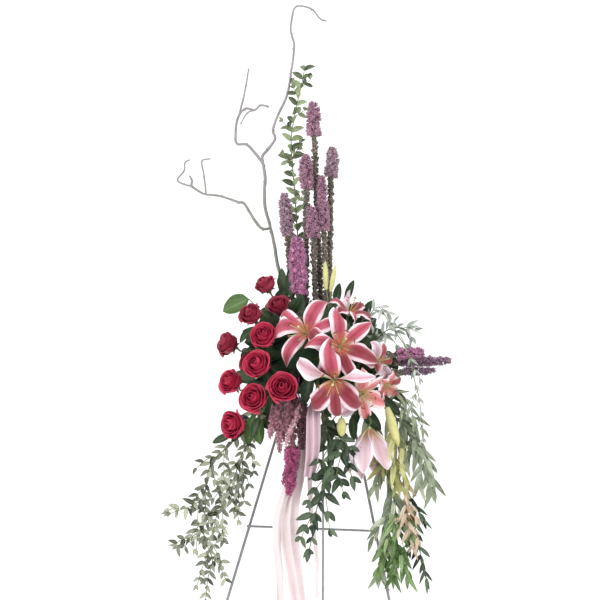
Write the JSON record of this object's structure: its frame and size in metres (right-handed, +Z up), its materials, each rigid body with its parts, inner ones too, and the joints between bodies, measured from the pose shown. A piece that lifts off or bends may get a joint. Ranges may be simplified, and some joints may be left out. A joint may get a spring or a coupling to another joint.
{
  "type": "standing funeral spray",
  "caption": "Standing flower spray on a folding wire easel: red roses, pink lilies, liatris, a bare twisting branch, trailing greens, tassels and satin ribbon tails.",
  "frame": {"origin": "on the floor, under the middle of the whole spray's box", "axes": "+Z up, +X to the viewer's right when facing the flowers, +Y from the flowers to the back leg"},
  "size_m": [0.6241, 0.5479, 1.7864],
  "materials": {
    "easel_wire": "grey-green lacquered steel wire, satin",
    "tie": "dark green plastic tie",
    "holder": "dark green moulded plastic",
    "foam": "soaked green floral foam, matt and porous",
    "rose_petals": "velvety dark red petals",
    "lily_petals": "waxy pink petals with pale margins",
    "liatris_florets": "fluffy magenta-purple florets, matt",
    "liatris_stems": "dark olive-brown stems with spent buds, matt",
    "willow_bark": "grey-brown bark, matt",
    "dark_foliage": "dark green leaves, satin",
    "lily_foliage": "mid green leaves and buds, satin",
    "trailing_foliage": "olive green small leaves, satin",
    "grey_green_foliage": "grey-green long leaves with a bloom, matt",
    "pale_foliage": "pale grey-green small leaves, matt",
    "magenta_tassel": "woolly magenta flower chain, matt",
    "mauve_tassel": "woolly mauve flower chain, matt",
    "pale_ribbon": "pale pink satin ribbon",
    "lilac_ribbon": "lilac satin ribbon"
  },
  "bodies": {
    "stand_and_spray": {"amaranth_magenta": "magenta_tassel", "amaranth_mauve": "mauve_tassel", "easel_crossbar": "easel_wire", "easel_leg_left": "easel_wire", "easel_leg_right": "easel_wire", "easel_pivot_bar": "easel_wire", "eucalyptus_right_inner": "grey_green_foliage", "eucalyptus_right_outer": "grey_green_foliage", "foam_block": "foam", "grey_sprigs_right": "pale_foliage", "holder_tie_left": "tie", "holder_tie_right": "tie", "holder_tray": "holder", "liatris_head_1": "liatris_florets", "liatris_head_2": "liatris_florets", "liatris_head_3": "liatris_florets", "liatris_head_4": "liatris_florets", "liatris_head_5": "liatris_florets", "liatris_head_6": "liatris_florets", "liatris_head_7": "liatris_florets", "liatris_side_head_1": "liatris_florets", "liatris_side_head_2": "liatris_florets", "liatris_side_head_3": "liatris_florets", "liatris_stems_left": "liatris_stems", "liatris_stems_right": "liatris_stems", "liatris_stems_side": "liatris_stems", "lily_bloom_1": "lily_petals", "lily_bloom_2": "lily_petals", "lily_bloom_3": "lily_petals", "lily_bloom_4": "lily_petals", "lily_bloom_5": "lily_petals", "lily_bloom_6": "lily_petals", "lily_bloom_7": "lily_petals", "lily_bloom_8": "lily_petals", "lily_stems_a": "lily_foliage", "lily_stems_b": "lily_foliage", "lily_stems_c": "lily_foliage", "ribbon_lilac": "lilac_ribbon", "ribbon_tails": "pale_ribbon", "rose_bloom_01": "rose_petals", "rose_bloom_02": "rose_petals", "rose_bloom_03": "rose_petals", "rose_bloom_04": "rose_petals", "rose_bloom_05": "rose_petals", "rose_bloom_06": "rose_petals", "rose_bloom_07": "rose_petals", "rose_bloom_08": "rose_petals", "rose_bloom_09": "rose_petals", "rose_bloom_10": "rose_petals", "rose_bloom_11": "rose_petals", "rose_stems_a": "dark_foliage", "rose_stems_b": "dark_foliage", "rose_stems_c": "dark_foliage", "rose_stems_d": "dark_foliage", "ruscus_middle": "dark_foliage", "trailing_left_inner": "trailing_foliage", "trailing_left_outer": "trailing_foliage", "upright_sprig": "pale_foliage", "willow_branch": "willow_bark"},
    "back_leg": {"easel_back_leg": "easel_wire"}
  },
  "joints": [
    {"name": "back_leg_fold", "type": "hinge", "parent": "stand_and_spray", "child": "back_leg", "pos_m": [0.012, 0.03369, 1.13386], "axis": [-1, 0, 0], "range_deg": [0, 23]}
  ]
}
